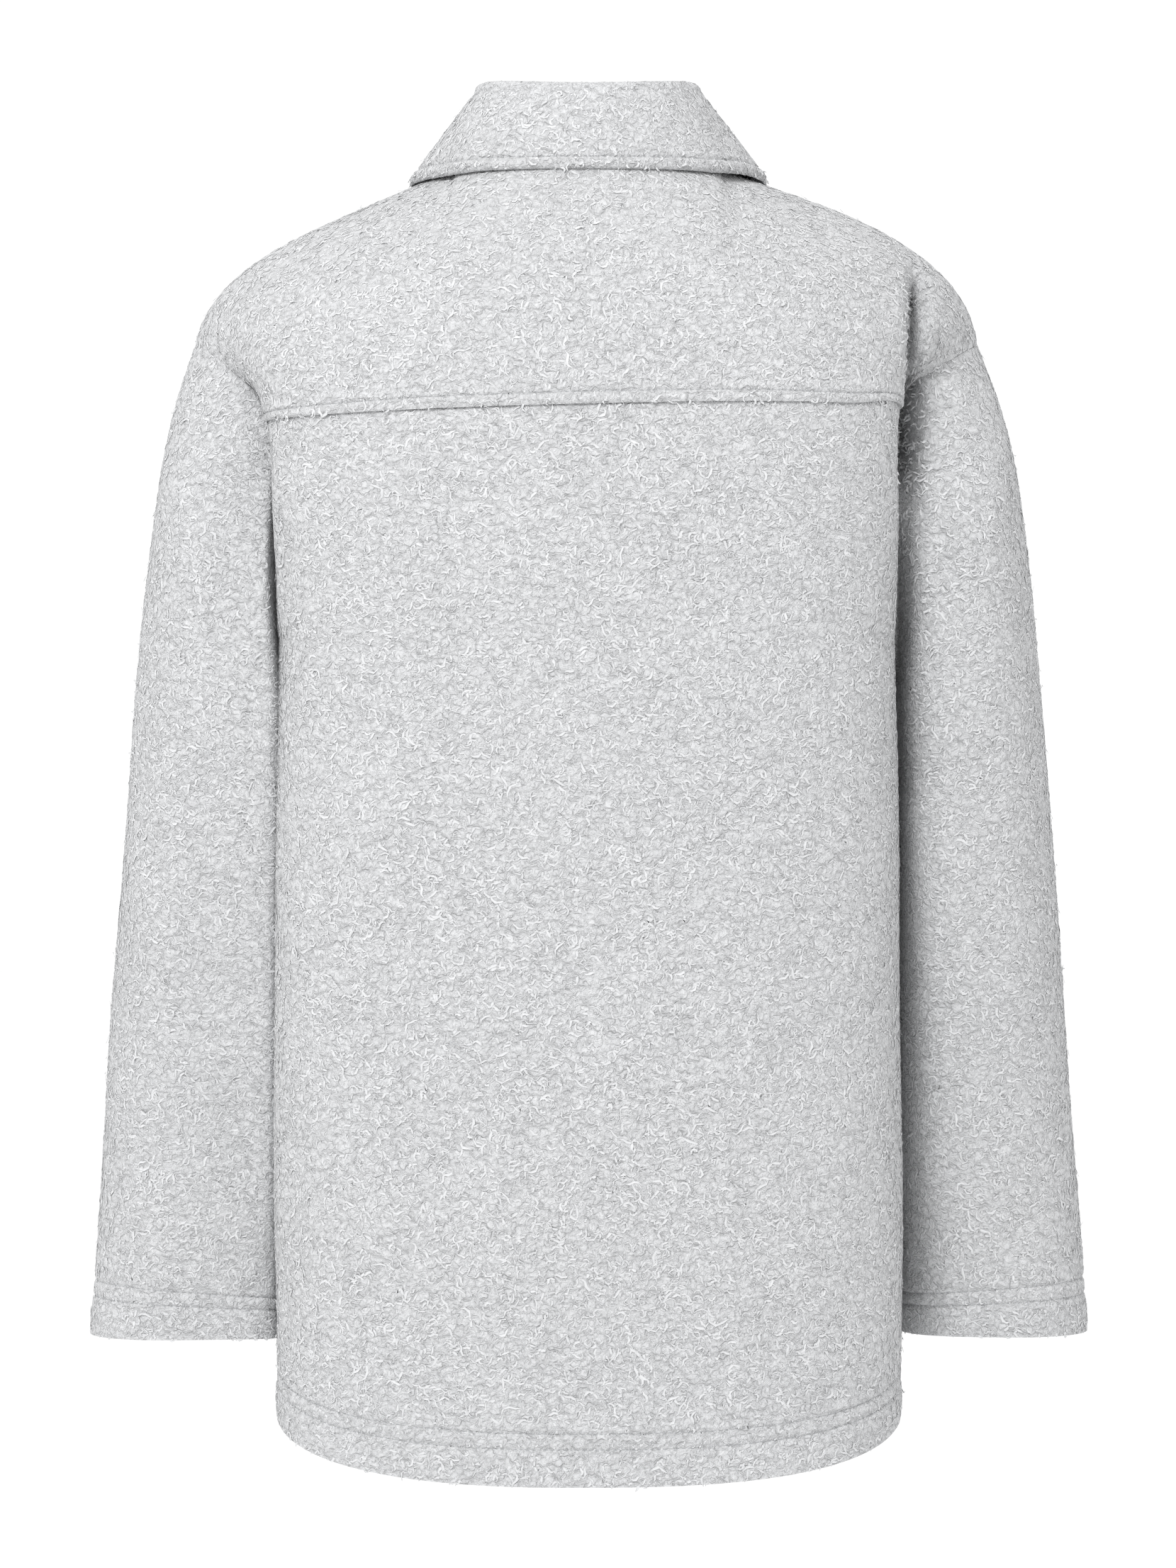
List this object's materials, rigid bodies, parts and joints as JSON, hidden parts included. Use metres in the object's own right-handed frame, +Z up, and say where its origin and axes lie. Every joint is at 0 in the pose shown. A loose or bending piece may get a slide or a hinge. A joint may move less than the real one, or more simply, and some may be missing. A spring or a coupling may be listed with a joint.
{
  "type": "shacket",
  "caption": "Thigh-length shacket of thick brushed light grey wool in its worn form: folded collar, back yoke, dropped sleeves with plain turned cuffs, curved hem, buttoned front.",
  "frame": {"origin": "middle of the neck at the height of the back neck seam, where the wearer's neck and shoulders hold it", "axes": "+Z up, the front faces -Y, the wearer's left is +X"},
  "size_m": [0.5985, 0.3025, 0.8216],
  "materials": {
    "wool": "brushed, matte",
    "button": "satin"
  },
  "bodies": {
    "root": {"back": "wool", "back_yoke": "wool", "front_left": "wool", "front_right": "wool", "sleeve_left": "wool", "sleeve_right": "wool", "collar_stand": "wool", "collar": "wool", "button_1": "button", "button_2": "button", "button_3": "button", "button_4": "button", "button_5": "button", "button_6": "button"}
  },
  "joints": []
}
